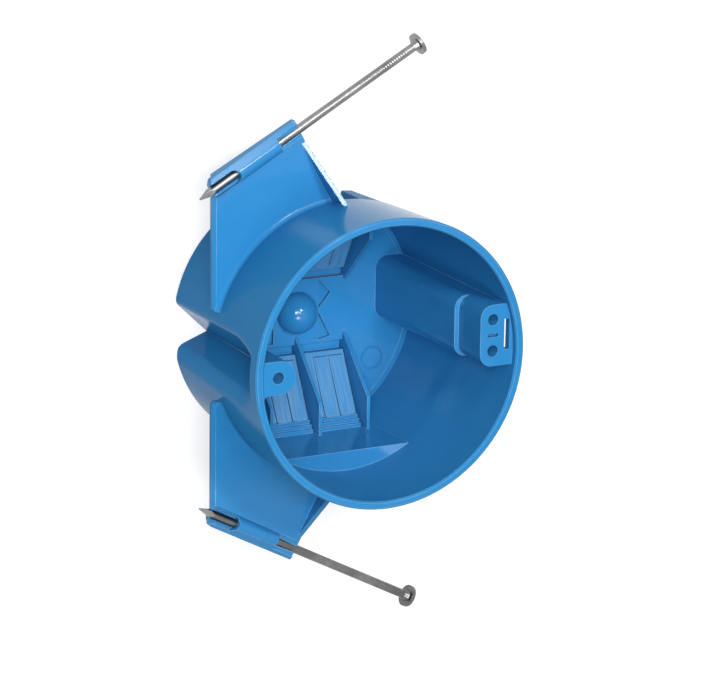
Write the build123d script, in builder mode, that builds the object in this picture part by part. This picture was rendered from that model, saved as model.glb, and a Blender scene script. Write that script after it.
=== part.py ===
"""Round nail-on ceiling box: one moulded body with two captive nails.

Millimetres. The box rests on its back: z = 0 is the outer face of the back, +Z runs along the
axis to the mouth, and the joist that the box is nailed to stands on the -X side.
"""
import os
from math import cos, radians, sin, sqrt, tan

from build123d import *

# Driving dimensions of the round shell
rim_diameter = 87.3
shell_draft = 2.9
box_depth = 65.7
rim_wall = 2.5
back_wall = 1.8
floor_thickness = 2.2
back_bevel = 1.8
rim_bevel = 0.5
inner_bevel = 1.0
collar_height = 4.7

# Fixture screw holes on the two sides of the mouth
screw_spacing = 69.85
screw_middle_x = -0.5
screw_row_y = -0.3
second_screw_y = 9.2
screw_hole_diameter = 3.5
screw_hole_length = 13.0
screw_tube_diameter = 6.4
boss_recess = 2.4
thin_wall = 1.8

# Right-hand post: a channel open to the outside, with a stepped inner wall
post_low_y = -5.0
post_high_y = 13.8
post_high_y_at_back = 15.0
post_corner = 4.0
post_front_x = 30.2
post_step_width = 1.4
post_step_z = 50.0
post_back_x = 27.0
slit_width = 1.7
slit_length = 9.3
slit_inner_x = 38.2
key_slot_length = 3.7
key_slot_width = 1.0
key_slot_depth = 1.6

# Left-hand groove, open to the outside, and the round boss in front of it
groove_depth = 11.75
groove_apex_y = -3.0
groove_upper_angle = 44.0
groove_lower_angle = 21.0
groove_fade_length = 15.0
groove_front_depth = 5.45
groove_front_apex_y = -1.0
groove_front_angle = 57.0
groove_round = 0.6
groove_upper_lobe = 3.0
groove_lower_lobe = 4.5
boss_radius = 5.0
boss_shift = 0.5
boss_base_z = 47.0

# Flat stretches of wall with a ledge, above and below the axis
flat_inner_y = 34.2
flat_wall = 2.2
ledge_z = 37.0

# Cable flaps in the back corners
divider_pitch = 16.3
divider_thickness = 1.0
divider_top_y = 24.0
divider_top_z = 19.7
divider_low_foot = 7.3
divider_high_foot = 8.7
pocket_start_y = 10.2
flap_hinge_z = 16.4
flap_lip_y = 10.4
flap_lip_bottom_z = 0.3
flap_lip_top_z = 0.9
flap_tip_y = 13.0
flap_tip_z = 3.2
flap_thickness = 1.5
flap_side_gap = 0.25
flap_bar_width = 4.8
flap_bar_gap = 0.4
flap_bar_height = 0.9
flap_bar_shift = 1.7
flap_bar_start = 0.9
flap_bar_bevel = 0.35
hinge_step_count = 3
hinge_step_length = 1.15

# Middle of the back
dome_radius = 6.6
pad_half_width = 7.6
pad_half_height = 9.4
corner_recess_width = 4.0
corner_recess_depth = 1.3
corner_recess_gap = 0.5
corner_recess_high_y = 5.4
corner_recess_low_y = 8.5

# Nails
nail_length = 83.0
nail_diameter = 2.7
nail_head_diameter = 6.8
nail_head_thickness = 1.1
nail_neck_length = 1.5
nail_neck_diameter = 3.9
nail_point_length = 5.2
nail_point_tip = 0.3
nail_tip_overhang = 4.7
nail_tip_beyond_rim = 3.05
nail_tip_z = 34.0
nail_angle = 28.6
nail_tilt = 2.8

# Nail flanges and sleeves
flange_front_z = 33.3
flange_thickness = 2.2
flange_inset = 1.45
flange_upper_tip_y = 12.4
flange_lower_tip_y = 15.0
flange_tip_round = 1.3
flange_edge_bevel = 1.0
flange_outer_strip = 3.5
flange_root_round = 1.5
flange_length = 36.6
gusset_thickness = 1.3
gusset_start = 4.0
gusset_end = 24.8
gusset_height = 8.7
sleeve_wall = 1.3
sleeve_clearance = 0.04
sleeve_start = 4.8
sleeve_corner_round = 1.3
sleeve_side_height = 0.9
sleeve_shoulder = 1.6
sleeve_trough_width = 4.6
sleeve_trough_depth = 0.5
sleeve_cover_start = 13.9
sleeve_cover_end = 28.8

# Worked out from the driving dimensions
rim_radius = rim_diameter / 2
back_radius = rim_radius - shell_draft
mouth_radius = rim_radius - rim_wall
floor_radius = back_radius - back_wall
collar_z = box_depth - collar_height
groove_apex_x = groove_depth - back_radius
groove_front_apex_x = groove_front_depth - rim_radius
groove_deep_z = collar_z - groove_fade_length
flange_edge_x = flange_inset - rim_radius
nail_tip_x = flange_edge_x - nail_tip_overhang
nail_tip_y = rim_radius + nail_tip_beyond_rim
face_z = box_depth - boss_recess
left_screw_x = screw_middle_x - screw_spacing / 2
right_screw_x = screw_middle_x + screw_spacing / 2
flat_outer_y = flat_inner_y + flat_wall
flat_middle_y = flat_inner_y + flat_wall / 2
flange_back_z = flange_front_z - flange_thickness
outside = rim_radius + 20.0
overlap = flap_thickness / 2


# Right-hand post, in section
def post_section(grow, inner_x, high_y):
    """Block from inner_x out past the wall with its inner corners rounded; grow offsets it."""
    with BuildSketch() as section:
        Polygon(
            (inner_x - grow, post_low_y - grow),
            (outside, post_low_y - grow),
            (outside, high_y + grow),
            (inner_x - grow, high_y + grow),
            align=None,
        )
        fillet(section.vertices().sort_by(Axis.X)[:2], post_corner + grow)
    return section.sketch


# Left-hand groove, in section
def groove_section(grow, apex_x, apex_y, upper_angle, lower_angle):
    """V from its apex out past the wall; grow moves both walls outwards and rounds the apex."""
    half_angle = radians(upper_angle + lower_angle) / 2
    bisector = radians(upper_angle - lower_angle) / 2
    shift = grow / sin(half_angle)
    tip_x = apex_x + shift * cos(bisector)
    tip_y = apex_y - shift * sin(bisector)
    with BuildSketch() as section:
        Polygon(
            (tip_x, tip_y),
            (-outside, tip_y + (tip_x + outside) * tan(radians(upper_angle))),
            (-outside, tip_y - (tip_x + outside) * tan(radians(lower_angle))),
            align=None,
        )
        if grow > 0:
            fillet(section.vertices().sort_by(Axis.X)[-1], groove_round + grow)
    return section.sketch


def deep_groove(grow):
    """Groove section behind the boss."""
    return groove_section(grow, groove_apex_x, groove_apex_y, groove_upper_angle, groove_lower_angle)


def shallow_groove(grow):
    """Groove section at the collar, outside the boss."""
    return groove_section(
        grow, groove_front_apex_x, groove_front_apex_y, groove_front_angle, groove_front_angle
    )


groove_back = deep_groove(0)
groove_front = shallow_groove(0)
ridge_back = deep_groove(thin_wall)
ridge_front = shallow_groove(thin_wall)
post_rear_x = post_front_x - post_step_width
post_at_back = post_section(0, post_back_x, post_high_y_at_back)
post_at_step = post_section(0, post_rear_x, post_high_y)
post_at_front = post_section(0, post_front_x, post_high_y)
channel_at_back = post_section(-thin_wall, post_back_x, post_high_y_at_back)
channel_at_step = post_section(-thin_wall, post_rear_x, post_high_y)
channel_at_front = post_section(-thin_wall, post_front_x, post_high_y)

# Groove as a solid: deep behind the boss, then ever shallower up to the collar
with BuildPart() as groove:
    with BuildSketch():
        add(groove_back)
    extrude(amount=groove_deep_z)
    with BuildSketch(Plane.XY.offset(groove_deep_z)):
        add(groove_back)
    with BuildSketch(Plane.XY.offset(collar_z)):
        add(groove_front)
    loft()

# Round shell, tapered, with the groove cut and its mouth rounded
def mouth_edges(edges, side):
    """Edges where the groove's wall on one side of the axis meets the outside of the shell."""
    return (
        edges.filter_by(lambda edge: edge.center().X < groove_front_apex_x)
        .filter_by(lambda edge: floor_thickness < edge.center().Z < collar_z - rim_bevel)
        .filter_by(lambda edge: side * edge.center().Y > 0)
    )


with BuildPart() as shell:
    with BuildSketch(Plane.XZ):
        Polygon(
            (0, 0),
            (back_radius, 0),
            (rim_radius, box_depth),
            (0, box_depth),
            align=None,
        )
    revolve(axis=Axis.Z)

with BuildPart() as bevelled_shell:
    add(shell.part)
    chamfer(bevelled_shell.edges().group_by(Axis.Z)[0], back_bevel)
    chamfer(bevelled_shell.edges().group_by(Axis.Z)[-1], rim_bevel)

with BuildPart() as envelope:
    add(shell.part)
    add(groove.part, mode=Mode.SUBTRACT)
    fillet(mouth_edges(envelope.edges(), 1), groove_upper_lobe)
    fillet(mouth_edges(envelope.edges(), -1), groove_lower_lobe)
    add(bevelled_shell.part, mode=Mode.INTERSECT)

with BuildPart() as cavity:
    with BuildSketch(Plane.XZ):
        Polygon(
            (0, floor_thickness),
            (floor_radius, floor_thickness),
            (mouth_radius, box_depth - rim_bevel),
            (mouth_radius + 2 * rim_bevel, box_depth + rim_bevel),
            (0, box_depth + rim_bevel),
            align=None,
        )
    revolve(axis=Axis.Z)
    chamfer(cavity.edges().group_by(Axis.Z)[0], inner_bevel)

# Right-hand post and the channel behind it
with BuildPart() as post:
    with BuildSketch():
        add(post_at_back)
    with BuildSketch(Plane.XY.offset(post_step_z)):
        add(post_at_step)
    loft()
    with BuildSketch(Plane.XY.offset(post_step_z)):
        add(post_at_front)
    extrude(amount=face_z - post_step_z)

with BuildPart() as post_channel:
    with BuildSketch():
        add(channel_at_back)
    with BuildSketch(Plane.XY.offset(post_step_z - thin_wall)):
        add(channel_at_step)
    loft()
    with BuildSketch(Plane.XY.offset(post_step_z - thin_wall)):
        add(channel_at_front)
    extrude(amount=collar_z - post_step_z + thin_wall)
    with BuildSketch(Plane.XY.offset(face_z - screw_hole_length)):
        with Locations((right_screw_x, screw_row_y), (right_screw_x, second_screw_y)):
            Circle(screw_tube_diameter / 2)
    extrude(amount=screw_hole_length, mode=Mode.SUBTRACT)

# Left-hand ridge over the groove, and the round boss with its flat sides
with BuildPart() as ridge:
    with BuildSketch():
        add(ridge_back)
    extrude(amount=groove_deep_z + thin_wall)
    with BuildSketch(Plane.XY.offset(groove_deep_z + thin_wall)):
        add(ridge_back)
    with BuildSketch(Plane.XY.offset(collar_z + thin_wall)):
        add(ridge_front)
    loft()
    with BuildSketch(Plane.XY.offset(boss_base_z)):
        with Locations((left_screw_x + boss_shift, screw_row_y)):
            Circle(boss_radius)
        with Locations((left_screw_x + boss_shift - boss_radius, screw_row_y)):
            Rectangle(2 * boss_radius, 2 * boss_radius)
    extrude(amount=face_z - boss_base_z)

# Flat stretches: solid up to the ledge inside, cut flat below the flange outside
segment_height = outside - flat_inner_y
recess_height = outside - flat_outer_y

with BuildPart() as segments:
    with BuildSketch():
        with Locations((0, flat_inner_y + segment_height / 2), (0, -flat_inner_y - segment_height / 2)):
            Rectangle(2 * outside, segment_height)
    extrude(amount=ledge_z)

with BuildPart() as recesses:
    with BuildSketch():
        with Locations((0, flat_outer_y + recess_height / 2), (0, -flat_outer_y - recess_height / 2)):
            Rectangle(2 * outside, recess_height)
    extrude(amount=flange_front_z)

# Dividers between the cable flaps: a slope from the floor, then a straight front edge
with BuildPart() as dividers:
    for divider_x in (-divider_pitch, 0, divider_pitch):
        for side, foot_y in ((-1, divider_low_foot), (1, divider_high_foot)):
            top_y = divider_top_y + foot_y - divider_low_foot
            with BuildSketch(Plane.YZ.offset(divider_x - divider_thickness / 2)):
                Polygon(
                    (side * foot_y, 0),
                    (side * foot_y, floor_thickness),
                    (side * top_y, divider_top_z),
                    (side * flat_middle_y, divider_top_z),
                    (side * flat_middle_y, 0),
                    align=None,
                )
            extrude(amount=divider_thickness)

# Pockets under the flaps, open to the back and through the flat wall
pocket_width = divider_pitch - divider_thickness
pocket_top_z = flap_hinge_z - flap_thickness
pocket_centres = (-divider_pitch / 2, divider_pitch / 2)

with BuildPart() as pockets:
    for pocket_x in pocket_centres:
        with BuildSketch(Plane.YZ.offset(pocket_x - pocket_width / 2)):
            Polygon(
                (pocket_start_y, 0),
                (outside, 0),
                (outside, pocket_top_z),
                (flat_inner_y - flap_thickness, pocket_top_z),
                (flat_inner_y - flap_thickness, floor_thickness),
                (pocket_start_y, floor_thickness),
                align=None,
            )
        extrude(amount=pocket_width)
    mirror(about=Plane.XZ)

# Cable flaps: a thin lip, a sloping tongue with two raised bars and a stepped hinge at the wall
flap_width = pocket_width - 2 * flap_side_gap
bar_end_y = flat_inner_y - hinge_step_count * hinge_step_length
flap_end_z = flap_hinge_z - hinge_step_count * hinge_step_length
flap_rise = (flap_end_z - flap_tip_z) / (bar_end_y - flap_tip_y)
flap_heel_y = flap_tip_y + flap_thickness
flap_heel_z = flap_tip_z + flap_thickness * flap_rise - flap_thickness
bar_start_y = flap_tip_y + flap_bar_start
bar_start_z = flap_tip_z + flap_bar_start * flap_rise

with BuildPart() as flap_bar:
    with BuildSketch(Plane.YZ.offset(-flap_bar_width / 2)):
        Polygon(
            (bar_start_y, bar_start_z - overlap),
            (bar_start_y + flap_bar_height / 2, bar_start_z + flap_bar_height),
            (bar_end_y, flap_end_z + flap_bar_height),
            (bar_end_y, flap_end_z - overlap),
            align=None,
        )
    extrude(amount=flap_bar_width)
    chamfer(flap_bar.faces().sort_by(Axis.Z)[-1].edges().sort_by(Axis.Y)[:-1], flap_bar_bevel)

with BuildPart() as flap:
    with BuildSketch(Plane.YZ.offset(-flap_width / 2)):
        Polygon(
            (flap_lip_y, flap_lip_bottom_z),
            (flap_lip_y, flap_lip_top_z),
            (flap_tip_y, flap_lip_top_z),
            (flap_tip_y, flap_tip_z),
            (bar_end_y, flap_end_z),
            (bar_end_y, flap_end_z - flap_thickness),
            (flap_heel_y, flap_heel_z),
            (flap_heel_y, flap_lip_bottom_z),
            align=None,
        )
        for step in range(hinge_step_count):
            step_y = bar_end_y + step * hinge_step_length
            step_z = flap_end_z + (step + 1) * hinge_step_length
            Polygon(
                (step_y, step_z),
                (flat_middle_y, step_z),
                (flat_middle_y, pocket_top_z),
                (flat_inner_y, pocket_top_z),
                (step_y, step_z - flap_thickness - hinge_step_length),
                align=None,
            )
    extrude(amount=flap_width)
    for side in (-1, 1):
        with Locations((flap_bar_shift + side * (flap_bar_width + flap_bar_gap) / 2, 0, 0)):
            add(flap_bar.part)

with BuildPart() as flaps:
    for pocket_x in pocket_centres:
        with Locations((pocket_x, 0, 0)):
            add(flap.part)
    mirror(about=Plane.XZ)

# Nail axis: local x points away from the box, local y to the front, local z to the head
turn = radians(nail_angle)
tilt = radians(nail_tilt)
nail_plane = Plane(
    origin=(nail_tip_x, nail_tip_y, nail_tip_z),
    x_dir=(-sin(turn), cos(turn), 0),
    z_dir=(cos(turn) * cos(tilt), sin(turn) * cos(tilt), -sin(tilt)),
)


def beside_nail(along, outwards):
    """Point in plan, along the nail from its tip and outwards from its axis."""
    x = nail_tip_x + along * cos(turn) - outwards * sin(turn)
    y = nail_tip_y + along * sin(turn) + outwards * cos(turn)
    return (x, y)


# Flange plate with its gusset, drawn for the upper side
plate_start = (flange_edge_x - nail_tip_x + flange_outer_strip * sin(turn)) / cos(turn)
plate_reach = gusset_end + post_corner
sleeve_bore_radius = nail_diameter / 2 + sleeve_clearance
sleeve_radius = sleeve_bore_radius + sleeve_wall
wall_at_flange = back_radius + (rim_radius - back_radius) * flange_front_z / box_depth
gusset_plane = Plane(
    origin=(*beside_nail(flange_length, 0), 0),
    x_dir=(sin(turn), -cos(turn), 0),
    z_dir=(-cos(turn), -sin(turn), 0),
)

with BuildPart() as flange_root:
    with BuildSketch(Plane.XZ):
        with Locations((wall_at_flange, flange_front_z)):
            Rectangle(2 * flange_root_round, 2 * flange_root_round)
        with Locations((wall_at_flange + flange_root_round, flange_front_z + flange_root_round)):
            Circle(flange_root_round, mode=Mode.SUBTRACT)
    revolve(axis=Axis.Z)


def make_flange(tip_y):
    """Plate, root round and gusset; the plate's inner corner stands at tip_y."""
    with BuildSketch(Plane.XY.offset(flange_back_z), mode=Mode.PRIVATE) as plan:
        Polygon(
            (flange_edge_x, tip_y),
            beside_nail(plate_start, flange_outer_strip),
            beside_nail(flange_length, flange_outer_strip),
            beside_nail(flange_length, -plate_reach),
            (flange_edge_x / 2, tip_y),
            align=None,
        )
        fillet(plan.vertices().sort_by_distance((flange_edge_x, tip_y, flange_back_z))[0], flange_tip_round)
    with BuildPart() as root:
        add(plan.sketch)
        extrude(amount=flange_thickness + flange_root_round)
        add(flange_root.part, mode=Mode.INTERSECT)
    with BuildPart() as plate:
        add(plan.sketch)
        extrude(amount=flange_thickness)
        chamfer(plate.edges().filter_by(Axis.Y).group_by(Axis.X)[0].sort_by(Axis.Z)[-1], flange_edge_bevel)
        add(root.part)
        with BuildSketch(gusset_plane):
            Polygon(
                (gusset_start, flange_back_z),
                (gusset_start, flange_front_z),
                (gusset_end, flange_front_z + gusset_height),
                (plate_reach, flange_front_z + gusset_height),
                (plate_reach, flange_back_z),
                align=None,
            )
        extrude(amount=gusset_thickness)
    return plate.part


# Sleeve: a rail round the nail, open to the front at both ends and to the back under its middle
cover_length = sleeve_cover_end - sleeve_cover_start
shoulder_height = sqrt(sleeve_radius**2 - sleeve_shoulder**2)
trough_plane = Plane(
    origin=nail_plane.origin - nail_plane.y_dir * sleeve_trough_depth,
    x_dir=nail_plane.z_dir,
    z_dir=nail_plane.y_dir,
)
trough_round_at = sleeve_cover_start - sleeve_trough_width / 2

with BuildPart() as sleeve:
    with BuildSketch(nail_plane.offset(sleeve_start)):
        Polygon(
            (0, -sleeve_side_height),
            (flange_outer_strip, -sleeve_side_height),
            (flange_outer_strip, sleeve_side_height),
            (sleeve_shoulder, shoulder_height),
            (0, shoulder_height),
            align=None,
        )
    extrude(amount=flange_length - sleeve_start)
    fillet(
        sleeve.edges()
        .filter_by(Axis((0, 0, 0), nail_plane.y_dir))
        .filter_by(lambda edge: nail_plane.to_local_coords(edge.center()).X > sleeve_shoulder),
        sleeve_corner_round,
    )
    with BuildSketch(nail_plane.offset(sleeve_start)):
        Circle(sleeve_radius)
    extrude(amount=flange_length - sleeve_start)
    with BuildSketch(trough_plane):
        with Locations((trough_round_at, 0)):
            Circle(sleeve_trough_width / 2)
        with Locations((trough_round_at / 2, 0)):
            Rectangle(trough_round_at, sleeve_trough_width)
        with Locations(((sleeve_cover_end + nail_length) / 2, 0)):
            Rectangle(nail_length - sleeve_cover_end, sleeve_trough_width)
    extrude(amount=2 * sleeve_radius, mode=Mode.SUBTRACT)

with BuildPart() as nail_way:
    with BuildSketch(nail_plane):
        Circle(sleeve_bore_radius)
    extrude(amount=nail_length)
    with BuildSketch(nail_plane.offset(sleeve_cover_start)):
        with Locations((0, -sleeve_radius)):
            Rectangle(2 * sleeve_bore_radius, 2 * sleeve_radius)
    extrude(amount=cover_length)
    with BuildSketch(trough_plane.offset(sleeve_trough_depth)):
        with Locations(((flange_length + nail_length) / 2, 0)):
            Rectangle(nail_length - flange_length, 2 * sleeve_bore_radius)
    extrude(amount=2 * sleeve_radius)

# Both flanges, kept out of the inside of the box
with BuildPart() as lower_half:
    add(make_flange(flange_lower_tip_y))
    add(sleeve.part)
    mirror(about=Plane.XZ, mode=Mode.REPLACE)

with BuildPart() as flanges:
    add(make_flange(flange_upper_tip_y))
    add(sleeve.part)
    add(lower_half.part)

with BuildPart() as hollow:
    add(cavity.part)
    add(segments.part, mode=Mode.SUBTRACT)

with BuildPart() as nail_ways:
    add(nail_way.part)
    mirror(about=Plane.XZ)

with BuildPart() as flanges_outside:
    add(flanges.part)
    add(hollow.part, mode=Mode.SUBTRACT)
    add(nail_ways.part, mode=Mode.SUBTRACT)

# Floor details: corner recesses beside the pad, and the dome
with BuildPart() as corner_recesses:
    for side in (-1, 1):
        for half, apex_y in ((1, corner_recess_high_y), (-1, corner_recess_low_y)):
            with BuildSketch(Plane.XY.offset(floor_thickness)):
                Polygon(
                    (side * pad_half_width, half * corner_recess_gap),
                    (side * pad_half_width, half * pad_half_height),
                    (side * (pad_half_width + corner_recess_width), half * apex_y),
                    align=None,
                )
            extrude(amount=-corner_recess_depth)

with BuildPart() as dome:
    with Locations((0, 0, floor_thickness)):
        Sphere(dome_radius)
    with BuildSketch(Plane.XY.offset(floor_thickness / 2)):
        Circle(2 * dome_radius)
    extrude(amount=2 * dome_radius, mode=Mode.INTERSECT)

# Holes in the faces of the boss and the post
face_middle_y = (screw_row_y + second_screw_y) / 2
post_screw_places = ((right_screw_x, screw_row_y), (right_screw_x, second_screw_y))

with BuildPart() as face_holes:
    with BuildSketch(Plane.XY.offset(face_z)):
        with Locations((left_screw_x, screw_row_y), *post_screw_places):
            Circle(screw_hole_diameter / 2)
    extrude(amount=-(face_z - boss_base_z + thin_wall))
    with BuildSketch(Plane.XY.offset(face_z)):
        with Locations((right_screw_x, face_middle_y)):
            SlotOverall(key_slot_length, key_slot_width)
    extrude(amount=-key_slot_depth)
    with BuildSketch(Plane.XY.offset(face_z)):
        with Locations((slit_inner_x + slit_width / 2, face_middle_y)):
            Rectangle(slit_width, slit_length)
    extrude(amount=-(face_z - collar_z + thin_wall))

# The moulded body
with BuildPart() as inner_forms:
    add(segments.part)
    add(post.part)
    add(ridge.part)
    add(dividers.part)
    add(envelope.part, mode=Mode.INTERSECT)

with BuildPart() as box_body:
    add(envelope.part)
    add(cavity.part, mode=Mode.SUBTRACT)
    add(inner_forms.part)
    add(dome.part)
    add(recesses.part, mode=Mode.SUBTRACT)
    add(pockets.part, mode=Mode.SUBTRACT)
    add(post_channel.part, mode=Mode.SUBTRACT)
    add(corner_recesses.part, mode=Mode.SUBTRACT)
    add(face_holes.part, mode=Mode.SUBTRACT)
    add(flaps.part)
    add(flanges_outside.part)

# Nail: shank, conical neck, flat head and a four-sided point
shank_radius = nail_diameter / 2
head_z = nail_length - nail_head_thickness
neck_z = head_z - nail_neck_length

with BuildPart() as nail_point:
    with BuildSketch():
        Rectangle(nail_point_tip, nail_point_tip)
    with BuildSketch(Plane.XY.offset(nail_point_length)):
        Rectangle(nail_diameter, nail_diameter)
    loft()
    with BuildSketch():
        Circle(shank_radius)
    extrude(amount=nail_point_length, mode=Mode.INTERSECT)

with BuildPart() as nail_blank:
    with BuildSketch(Plane.XZ):
        Polygon(
            (0, nail_point_length),
            (shank_radius, nail_point_length),
            (shank_radius, neck_z),
            (nail_neck_diameter / 2, head_z),
            (nail_head_diameter / 2, head_z),
            (nail_head_diameter / 2, nail_length),
            (0, nail_length),
            align=None,
        )
    revolve(axis=Axis.Z)
    add(nail_point.part)

with BuildPart() as nail_upper:
    with Locations(nail_plane.location):
        add(nail_blank.part)

with BuildPart() as nail_lower:
    mirror(nail_upper.part, about=Plane.XZ)

# Output
box_body.part.label = "box_body"
nail_upper.part.label = "nail_upper"
nail_lower.part.label = "nail_lower"

os.makedirs("parts", exist_ok=True)
export_step(box_body.part, "parts/box_body.step")
export_step(nail_upper.part, "parts/nail_upper.step")
export_step(nail_lower.part, "parts/nail_lower.step")
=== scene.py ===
"""Looks of the round nail-on ceiling box: materials, light, floor and camera around the frame."""
from math import pi, radians

import bpy
from mathutils import Matrix, Vector

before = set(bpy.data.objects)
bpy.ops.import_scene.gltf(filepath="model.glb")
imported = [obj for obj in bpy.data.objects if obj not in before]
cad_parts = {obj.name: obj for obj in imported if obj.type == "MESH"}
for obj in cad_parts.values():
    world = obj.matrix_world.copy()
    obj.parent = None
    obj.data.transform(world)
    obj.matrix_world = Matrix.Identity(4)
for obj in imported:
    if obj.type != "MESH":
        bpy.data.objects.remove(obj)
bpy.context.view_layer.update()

# Camera of the photo, worked out from the rim circle, the back and the nails
CAMERA_PLACE = Vector((-0.454285, 0.280258, 0.924731))
CAMERA_RIGHT = Vector((0.891278, 0.014109, 0.453237))
CAMERA_UP = Vector((0.110231, 0.962792, -0.246738))
CAMERA_LENS_MM = 178.72
SENSOR_MM = 36.0
CLIP_NEAR = 0.05
CLIP_FAR = 100.0

# Colours, as linear light
PLASTIC_MAIN = (0.026, 0.207, 0.465)
PLASTIC_DEEP = (0.022, 0.190, 0.438)
PLASTIC_STREAK = (0.034, 0.228, 0.505)
PLASTIC_WEAR_AND_HIGHLIGHT = (0.550, 0.820, 0.950)
PLASTIC_GLINT_SPECK = (0.200, 0.440, 0.680)
PLASTIC_RUBBED_AND_SHEEN = (0.170, 0.340, 0.520)
STEEL_BRIGHT = (0.29, 0.29, 0.29)
STEEL_DULL = (0.18, 0.18, 0.18)
STEEL_SPOT = (0.08, 0.08, 0.08)
WORLD_TINT = (0.90, 0.95, 1.0, 1.0)
WHITE = (1.0, 1.0, 1.0, 1.0)

# World's light on the object
WORLD_LIGHT = 0.11

# Floor: its grey and its own light as seen, the grey that lights the box, and its place in metres
FLOOR_GREY = 0.45
FLOOR_GLOW = 0.68
FLOOR_BOUNCE = 0.55
FLOOR_DROP = 0.0001
FLOOR_HALF = 30.0

# Sizes of the noises, where a higher number is finer
BROAD_NOISE = 14.0
RIPPLE_NOISE = 45.0
FLOW_NOISE = 60.0
SCUFF_NOISE = 220.0
BRUSH_NOISE = 300.0
GLINT_SPECK_NOISE = 900.0
GRAIN_NOISE = 1500.0
CLOUD_NOISE = 120.0
SPOT_NOISE = 700.0
DRAWN_NOISE = 1800.0
FLOW_STRETCH = (1.0, 1.0, 0.25)
BRUSH_STRETCH = (5.0, 0.25, 0.25)

# Edges: the radius that the shading softens, the cosines where the pale edge of wear and painted
# highlight begins and is full, and its share
EDGE_RADIUS = 0.00035
EDGE_BEGINS = 0.99
EDGE_FULL = 0.88
EDGE_WEAR_AND_HIGHLIGHT_LEAST = 0.10
EDGE_WEAR_AND_HIGHLIGHT_MOST = 0.35
SMOOTH_LIMIT_DEGREES = 28.0

# Shares of streak, rubbing with painted sheen, and painted glint specks in the plastic's colour
STREAK_MOST = 0.35
RUB_AND_SHEEN_LEAST = 0.12
RUB_AND_SHEEN_MOST = 0.58
GLINT_SPECK_MOST = 0.25

# Plastic's gloss: roughness, and how strong its own mirror and its clear coat are
SMOOTH_LEAST = 0.12
SMOOTH_MOST = 0.18
SCUFF_ROUGHNESS = 0.12
PLASTIC_IOR = 1.5
PLASTIC_SPECULAR = 0.015
COAT_ROUGHNESS = 0.10

# Clear coat on the inside, as a ball that fades out at the wall, and weaker on the grained back
POLISH_CENTRE = Vector((0.010, -0.008, 0.030))
POLISH_FULL = 0.036
POLISH_END = 0.043
POLISH_INSIDE = 0.65
POLISH_BACK_SHARE = 0.25

# Clear coat on the flanges, by the distance to each side of the middle plane
FLANGE_FROM = 0.032
FLANGE_FULL = 0.046
POLISH_FLANGE = 0.45

# Cable flaps: the normal of their slope, how close to it counts, and where they begin
FLAP_TILT = Vector((0.0, 0.49, 0.872))
FLAP_NEAR = 0.97
FLAP_SURE = 0.99
FLAP_FROM = 0.011

# Back of the box: height up to which it is grained, and the plain ring on it
BACK_TOP = 0.0023
BACK_END = 0.0028
MARK_CENTRE = Vector((0.0260, -0.0171, 0.0022))
MARK_RADIUS = 0.0034
MARK_WIDTH = 0.0005

# Bumps of the plastic: heights, how strong ripple and grain show, and the grain's share by place
RIPPLE_HEIGHT = 0.0004
RIPPLE_STRENGTH = 0.12
GRAIN_STRENGTH = 0.5
GRAIN_ELSEWHERE = 0.3
GRAIN_ON_BACK = 1.4
MARK_HEIGHT = 0.00025
GRAIN_HEIGHT = 0.00004

# Steel: share of dull spots, how far the lower nail is painted darker as shade, roughness, and bumps
SPOT_MOST = 0.6
LOWER_SHADE_LEAST = 0.30
LOWER_SHADE_MOST = 0.55
STEEL_SMOOTH = 0.24
STEEL_ROUGH = 0.38
RING_HEIGHT = 0.00010
RING_STRENGTH = 0.8
DRAWN_HEIGHT = 0.00003
DRAWN_STRENGTH = 0.4

# Nails: tip and axis of the upper one, and the grip rings by the distance from the tip
NAIL_TIP = Vector((-0.0469, 0.0467, 0.034))
NAIL_AXIS = Vector((0.8770, 0.4781, -0.0489))
GRIP_FROM = 0.0688
GRIP_TO = 0.0776
GRIP_PITCH = 0.00085
GRIP_DARKNESS = 0.45


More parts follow.
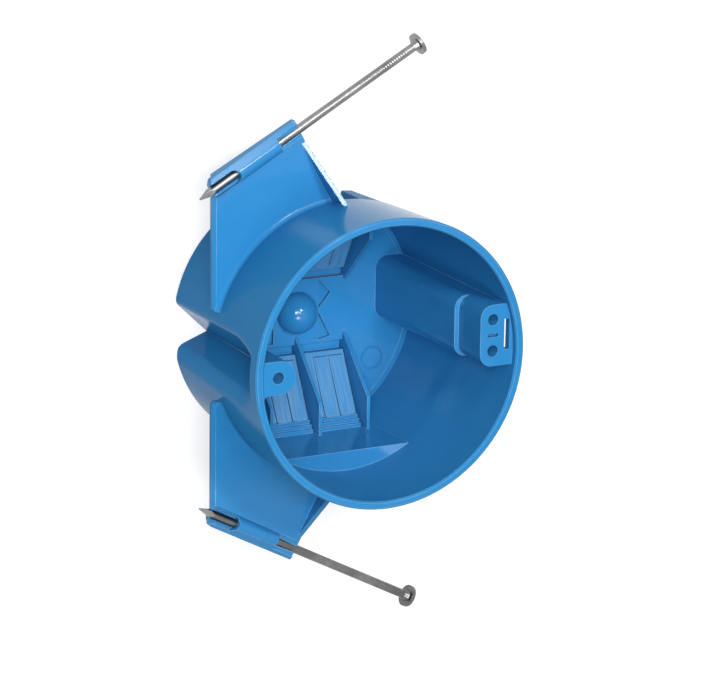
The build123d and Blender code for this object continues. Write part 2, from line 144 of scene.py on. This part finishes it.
# Node helpers
class Nodes:
    """A material's node tree with short calls for the nodes used here."""

    def __init__(self, name):
        self.material = bpy.data.materials.new(name)
        self.material.use_nodes = True
        self.tree = self.material.node_tree
        self.shader = self.tree.nodes["Principled BSDF"]
        self.coordinates = self.add("ShaderNodeTexCoord")
        self.place = self.coordinates.outputs["Object"]
        self.axes = self.add("ShaderNodeSeparateXYZ")
        self.link(self.place, self.axes.inputs[0])

    def add(self, kind, **values):
        node = self.tree.nodes.new(kind)
        for key, value in values.items():
            setattr(node, key, value)
        return node

    def link(self, source, target):
        self.tree.links.new(source, target)

    def scaled(self, scale):
        node = self.add("ShaderNodeMapping")
        node.inputs["Scale"].default_value = scale
        self.link(self.place, node.inputs["Vector"])
        return node.outputs["Vector"]

    def noise(self, scale, detail=3.0, roughness=0.55, distortion=0.0, vector=None):
        node = self.add("ShaderNodeTexNoise")
        node.inputs["Scale"].default_value = scale
        node.inputs["Detail"].default_value = detail
        node.inputs["Roughness"].default_value = roughness
        node.inputs["Distortion"].default_value = distortion
        self.link(vector or self.place, node.inputs["Vector"])
        return node.outputs["Fac"]

    def ramp(self, factor, stops):
        node = self.add("ShaderNodeValToRGB")
        elements = node.color_ramp.elements
        while len(elements) < len(stops):
            elements.new(0.5)
        for element, (position, color) in zip(elements, stops):
            element.position = position
            element.color = (*color, 1.0)
        self.link(factor, node.inputs["Fac"])
        return node.outputs["Color"]

    def remap(self, factor, low_in, high_in, low_out, high_out):
        node = self.add("ShaderNodeMapRange")
        keys = ("From Min", "From Max", "To Min", "To Max")
        for key, value in zip(keys, (low_in, high_in, low_out, high_out)):
            node.inputs[key].default_value = value
        self.link(factor, node.inputs["Value"])
        return node.outputs["Result"]

    def math(self, operation, first, second):
        node = self.add("ShaderNodeMath", operation=operation)
        for socket, value in zip(node.inputs, (first, second)):
            if isinstance(value, (int, float)):
                socket.default_value = value
            else:
                self.link(value, socket)
        return node.outputs["Value"]

    def absolute(self, value):
        return self.math("ABSOLUTE", value, 0.0)

    def mix(self, factor, first, second):
        node = self.add("ShaderNodeMix", data_type="RGBA")
        sockets = (node.inputs[0], node.inputs[6], node.inputs[7])
        for socket, value in zip(sockets, (factor, first, second)):
            if isinstance(value, (int, float)):
                socket.default_value = value
            elif isinstance(value, tuple):
                socket.default_value = (*value, 1.0)
            else:
                self.link(value, socket)
        return node.outputs[2]

    def bump(self, height, distance, strength=1.0, normal=None):
        node = self.add("ShaderNodeBump")
        node.inputs["Distance"].default_value = distance
        node.inputs["Strength"].default_value = strength
        self.link(height, node.inputs["Height"])
        if normal is not None:
            self.link(normal, node.inputs["Normal"])
        return node.outputs["Normal"]

    def soft_normal(self, radius):
        """Normal that runs round the edges, as on a moulded or drawn piece."""
        node = self.add("ShaderNodeBevel", samples=4)
        node.inputs["Radius"].default_value = radius
        return node.outputs["Normal"]

    def edge_mask(self, soft_edge):
        """1 on edges, 0 on open faces, by how far the softened normal turns from the true one."""
        geometry = self.add("ShaderNodeNewGeometry")
        node = self.add("ShaderNodeVectorMath", operation="DOT_PRODUCT")
        self.link(soft_edge, node.inputs[0])
        self.link(geometry.outputs["Normal"], node.inputs[1])
        return self.remap(node.outputs["Value"], EDGE_BEGINS, EDGE_FULL, 0.0, 1.0)

    def distance(self, centre):
        node = self.add("ShaderNodeVectorMath", operation="DISTANCE")
        self.link(self.place, node.inputs[0])
        node.inputs[1].default_value = centre
        return node.outputs["Value"]

    def along(self, vector, direction):
        """Share of a vector along a direction, with the side y < 0 mirrored onto y > 0."""
        parts = self.add("ShaderNodeSeparateXYZ")
        self.link(vector, parts.inputs[0])
        mirrored = self.add("ShaderNodeCombineXYZ")
        self.link(parts.outputs["X"], mirrored.inputs["X"])
        self.link(self.absolute(parts.outputs["Y"]), mirrored.inputs["Y"])
        self.link(parts.outputs["Z"], mirrored.inputs["Z"])
        node = self.add("ShaderNodeVectorMath", operation="DOT_PRODUCT")
        self.link(mirrored.outputs[0], node.inputs[0])
        node.inputs[1].default_value = direction
        return node.outputs["Value"]

    def flap_mask(self):
        """1 on the sloping faces of the cable flaps, picked out by their slope and place."""
        slope = self.along(self.coordinates.outputs["Normal"], FLAP_TILT)
        facing_flap = self.remap(slope, FLAP_NEAR, FLAP_SURE, 0.0, 1.0)
        beside = self.math("GREATER_THAN", self.absolute(self.axes.outputs["Y"]), FLAP_FROM)
        return self.math("MULTIPLY", facing_flap, beside)

    def along_nail(self):
        """Distance from the nail's tip along its axis."""
        return self.math("SUBTRACT", self.along(self.place, NAIL_AXIS), NAIL_TIP.dot(NAIL_AXIS))


def plastic_colour(n, broad, soft_edge):
    """Blue with flow streaks, rubbed cable flaps with a painted sheen, edges paler by wear and a
    painted highlight, and pale specks painted as glints.
    """
    flow = n.noise(FLOW_NOISE, detail=4.0, distortion=1.2, vector=n.scaled(FLOW_STRETCH))
    base = n.ramp(broad, ((0.25, PLASTIC_DEEP), (0.75, PLASTIC_MAIN)))
    streaked = n.mix(n.remap(flow, 0.35, 0.75, 0.0, STREAK_MOST), base, PLASTIC_STREAK)
    brushed = n.noise(BRUSH_NOISE, detail=3.0, vector=n.scaled(BRUSH_STRETCH))
    # Flap faces, picked by their slope, get brushed rubbing streaks together with a painted sheen: a
    # paler colour standing in for their reflection.
    rub_and_sheen = n.math("MULTIPLY", n.flap_mask(), n.remap(brushed, 0.3, 0.7, RUB_AND_SHEEN_LEAST, RUB_AND_SHEEN_MOST))
    rubbed_and_sheened = n.mix(rub_and_sheen, streaked, PLASTIC_RUBBED_AND_SHEEN)
    # Edges are made paler partly by wear and partly by a painted highlight standing in for the light
    # that edges catch.
    wear_and_highlight_share = n.remap(flow, 0.3, 0.6, EDGE_WEAR_AND_HIGHLIGHT_LEAST, EDGE_WEAR_AND_HIGHLIGHT_MOST)
    worn_and_highlit = n.mix(n.math("MULTIPLY", n.edge_mask(soft_edge), wear_and_highlight_share), rubbed_and_sheened, PLASTIC_WEAR_AND_HIGHLIGHT)
    # Pale specks are painted glints, standing in for highlights on tiny bumps.
    glint_speck_noise = n.noise(GLINT_SPECK_NOISE, detail=2.0, roughness=0.7)
    glint_specks = n.remap(glint_speck_noise, 0.68, 0.76, 0.0, GLINT_SPECK_MOST)
    n.link(n.mix(glint_specks, worn_and_highlit, PLASTIC_GLINT_SPECK), n.shader.inputs["Base Color"])


def plastic_roughness(n, broad):
    """Smooth, with small scuffs that are duller."""
    scuffs = n.noise(SCUFF_NOISE, detail=5.0, roughness=0.65, distortion=0.4)
    smooth = n.remap(broad, 0.3, 0.7, SMOOTH_LEAST, SMOOTH_MOST)
    rough = n.math("ADD", smooth, n.remap(scuffs, 0.45, 0.8, 0.0, SCUFF_ROUGHNESS))
    n.link(rough, n.shader.inputs["Roughness"])


def plastic_bump(n, ripple, on_back):
    """Fine grain, stronger on the back, and the ring on the back."""
    strength = n.remap(on_back, 0.0, 1.0, GRAIN_ELSEWHERE, GRAIN_ON_BACK)
    grain_height = n.math("MULTIPLY", n.noise(GRAIN_NOISE, detail=3.0), strength)
    off_ring = n.absolute(n.math("SUBTRACT", n.distance(MARK_CENTRE), MARK_RADIUS))
    ring = n.remap(off_ring, MARK_WIDTH * 0.3, MARK_WIDTH * 0.6, 1.0, 0.0)
    marked = n.bump(n.math("MULTIPLY", ring, on_back), MARK_HEIGHT, normal=ripple)
    grain = n.bump(grain_height, GRAIN_HEIGHT, GRAIN_STRENGTH, normal=marked)
    n.link(grain, n.shader.inputs["Normal"])


def plastic_coat(n, ripple, on_back):
    """Clear coat on the inside and the flanges."""
    inside = n.remap(n.distance(POLISH_CENTRE), POLISH_FULL, POLISH_END, POLISH_INSIDE, 0.0)
    off_back = n.remap(on_back, 0.0, 1.0, 1.0, POLISH_BACK_SHARE)
    aside = n.absolute(n.axes.outputs["Y"])
    on_flange = n.remap(aside, FLANGE_FROM, FLANGE_FULL, 0.0, POLISH_FLANGE)
    polish = n.math("MAXIMUM", n.math("MULTIPLY", inside, off_back), on_flange)
    n.link(polish, n.shader.inputs["Coat Weight"])
    n.link(ripple, n.shader.inputs["Coat Normal"])
    n.shader.inputs["Coat Roughness"].default_value = COAT_ROUGHNESS
    n.shader.inputs["Coat IOR"].default_value = PLASTIC_IOR


def box_plastic():
    """Blue moulded plastic, glossy inside and on the flanges, with a grained back."""
    n = Nodes("box_plastic")
    broad = n.noise(BROAD_NOISE, detail=2.0)
    soft_edge = n.soft_normal(EDGE_RADIUS)
    swell = n.noise(RIPPLE_NOISE, detail=1.0)
    ripple = n.bump(swell, RIPPLE_HEIGHT, RIPPLE_STRENGTH, normal=soft_edge)
    on_back = n.remap(n.axes.outputs["Z"], BACK_TOP, BACK_END, 1.0, 0.0)
    plastic_colour(n, broad, soft_edge)
    plastic_roughness(n, broad)
    plastic_bump(n, ripple, on_back)
    plastic_coat(n, ripple, on_back)
    n.shader.inputs["IOR"].default_value = PLASTIC_IOR
    n.shader.inputs["Specular IOR Level"].default_value = PLASTIC_SPECULAR
    return n.material


def grip_rings(n):
    """Waves from 0 to 1 along the band of grip rings near the head, 0 elsewhere."""
    along = n.along_nail()
    wave = n.math("SINE", n.math("MULTIPLY", along, 2 * pi / GRIP_PITCH), 0.0)
    begun = n.math("GREATER_THAN", along, GRIP_FROM)
    in_band = n.math("MULTIPLY", begun, n.math("LESS_THAN", along, GRIP_TO))
    return n.math("MULTIPLY", n.remap(wave, -1.0, 1.0, 0.0, 1.0), in_band)


def nail_steel():
    """Drawn steel wire with cloudy patches, dull spots and grip rings; the lower nail is painted
    darker as shade.
    """
    n = Nodes("nail_steel")
    cloudy = n.noise(CLOUD_NOISE, detail=4.0, roughness=0.6)
    base = n.ramp(cloudy, ((0.3, STEEL_DULL), (0.7, STEEL_BRIGHT)))
    spots = n.noise(SPOT_NOISE, detail=3.0, roughness=0.7)
    spotted = n.mix(n.remap(spots, 0.62, 0.75, 0.0, SPOT_MOST), base, STEEL_SPOT)
    # The lower nail is painted darker all over: painted shade, a darker copy of the same steel.
    is_lower = n.math("LESS_THAN", n.axes.outputs["Y"], 0.0)
    lower_nail_shade = n.math("MULTIPLY", is_lower, n.remap(cloudy, 0.3, 0.7, LOWER_SHADE_MOST, LOWER_SHADE_LEAST))
    spotted_with_lower_shade = n.mix(lower_nail_shade, spotted, STEEL_SPOT)
    rings = grip_rings(n)
    ringed_colour = n.mix(n.math("MULTIPLY", rings, GRIP_DARKNESS), spotted_with_lower_shade, STEEL_SPOT)
    n.link(ringed_colour, n.shader.inputs["Base Color"])
    n.shader.inputs["Metallic"].default_value = 1.0
    n.link(n.remap(cloudy, 0.3, 0.7, STEEL_SMOOTH, STEEL_ROUGH), n.shader.inputs["Roughness"])
    ringed = n.bump(rings, RING_HEIGHT, RING_STRENGTH, normal=n.soft_normal(EDGE_RADIUS / 2))
    fine = n.bump(n.noise(DRAWN_NOISE, detail=2.0), DRAWN_HEIGHT, DRAWN_STRENGTH, normal=ringed)
    n.link(fine, n.shader.inputs["Normal"])
    return n.material


def give(node, material):
    """The material in every slot of a CAD node."""
    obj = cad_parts[node]
    obj.data.materials.clear()
    obj.data.materials.append(material)


plastic = box_plastic()
steel = nail_steel()
give("box_body", plastic)
give("nail_upper", steel)
give("nail_lower", steel)


# Smooth shading by angle, which leaves the meshes as they are
def smooth_by_angle(obj, degrees_limit):
    for polygon in obj.data.polygons:
        polygon.use_smooth = True
    obj.data.set_sharp_from_angle(angle=radians(degrees_limit))


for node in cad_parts.values():
    smooth_by_angle(node, SMOOTH_LIMIT_DEGREES)


# Rays for which floor and world show as the white backdrop
def seen_directly(tree):
    """1 for camera, glossy and transmission rays, so that metal and gloss show the backdrop too."""
    path = tree.nodes.new("ShaderNodeLightPath")
    total = path.outputs["Is Camera Ray"]
    for ray in ("Is Glossy Ray", "Is Transmission Ray"):
        either = tree.nodes.new("ShaderNodeMath")
        either.operation = "MAXIMUM"
        tree.links.new(total, either.inputs[0])
        tree.links.new(path.outputs[ray], either.inputs[1])
        total = either.outputs["Value"]
    return total


# Floor that shows as white with the box's shadow, and lights the box as a plain grey
def white_floor():
    material = bpy.data.materials.new("floor_white")
    material.use_nodes = True
    tree = material.node_tree
    tree.nodes.clear()
    output = tree.nodes.new("ShaderNodeOutputMaterial")
    diffuse = tree.nodes.new("ShaderNodeBsdfDiffuse")
    diffuse.inputs["Color"].default_value = (FLOOR_GREY, FLOOR_GREY, FLOOR_GREY, 1.0)
    bounce = tree.nodes.new("ShaderNodeBsdfDiffuse")
    bounce.inputs["Color"].default_value = (FLOOR_BOUNCE, FLOOR_BOUNCE, FLOOR_BOUNCE, 1.0)
    glow = tree.nodes.new("ShaderNodeEmission")
    glow.inputs["Color"].default_value = WHITE
    glow.inputs["Strength"].default_value = FLOOR_GLOW
    both = tree.nodes.new("ShaderNodeAddShader")
    tree.links.new(diffuse.outputs[0], both.inputs[0])
    tree.links.new(glow.outputs[0], both.inputs[1])
    pick = tree.nodes.new("ShaderNodeMixShader")
    tree.links.new(seen_directly(tree), pick.inputs["Fac"])
    tree.links.new(bounce.outputs[0], pick.inputs[1])
    tree.links.new(both.outputs[0], pick.inputs[2])
    tree.links.new(pick.outputs[0], output.inputs["Surface"])
    return material


floor_mesh = bpy.data.meshes.new("floor")
floor_mesh.from_pydata(
    [
        (-FLOOR_HALF, -FLOOR_HALF, -FLOOR_DROP),
        (FLOOR_HALF, -FLOOR_HALF, -FLOOR_DROP),
        (FLOOR_HALF, FLOOR_HALF, -FLOOR_DROP),
        (-FLOOR_HALF, FLOOR_HALF, -FLOOR_DROP),
    ],
    [],
    [(0, 1, 2, 3)],
)
floor = bpy.data.objects.new("floor", floor_mesh)
floor.data.materials.append(white_floor())
bpy.context.scene.collection.objects.link(floor)

# World: weak even light on the object, plain white to the camera and in reflections
world = bpy.data.worlds.new("studio")
bpy.context.scene.world = world
world.use_nodes = True
world_tree = world.node_tree
background = world_tree.nodes["Background"]
background.inputs["Color"].default_value = WORLD_TINT
background.inputs["Strength"].default_value = WORLD_LIGHT
plain_white = world_tree.nodes.new("ShaderNodeBackground")
plain_white.inputs["Color"].default_value = WHITE
world_mix = world_tree.nodes.new("ShaderNodeMixShader")
world_tree.links.new(seen_directly(world_tree), world_mix.inputs["Fac"])
world_tree.links.new(background.outputs[0], world_mix.inputs[1])
world_tree.links.new(plain_white.outputs[0], world_mix.inputs[2])
world_tree.links.new(world_mix.outputs[0], world_tree.nodes["World Output"].inputs["Surface"])


# Lamps: square soft panels that face the middle of the box
BOX_MIDDLE = Vector((0.0, 0.0, 0.03))


def panel(name, place, side, watts):
    data = bpy.data.lights.new(name, "AREA")
    data.shape = "RECTANGLE"
    data.size = side
    data.size_y = side
    data.energy = watts
    obj = bpy.data.objects.new(name, data)
    obj.location = place
    aim = BOX_MIDDLE - Vector(place)
    obj.rotation_euler = aim.to_track_quat("-Z", "Y").to_euler()
    bpy.context.scene.collection.objects.link(obj)


panel("key_front", place=(-0.10, 0.30, 1.15), side=0.22, watts=2.3)
panel("key_top", place=(0.09, 0.53, 1.07), side=0.17, watts=4.1)
panel("camera_side", place=(-0.45, 0.30, 0.95), side=0.30, watts=6.6)
panel("top_front", place=(-0.15, 0.80, 0.80), side=0.25, watts=1.8)
panel("fill_low", place=(-0.30, -0.30, 1.10), side=0.30, watts=4.0)

# Camera
camera_data = bpy.data.cameras.new("photo_camera")
camera_data.lens = CAMERA_LENS_MM
camera_data.sensor_width = SENSOR_MM
camera_data.sensor_fit = "HORIZONTAL"
camera_data.clip_start = CLIP_NEAR
camera_data.clip_end = CLIP_FAR
camera = bpy.data.objects.new("photo_camera", camera_data)
right = CAMERA_RIGHT.normalized()
back = right.cross(CAMERA_UP).normalized()
up = back.cross(right)
turned = Matrix((right, up, back)).transposed().to_4x4()
camera.matrix_world = Matrix.Translation(CAMERA_PLACE) @ turned
bpy.context.scene.collection.objects.link(camera)
bpy.context.scene.camera = camera
bpy.context.scene.view_settings.view_transform = "Standard"
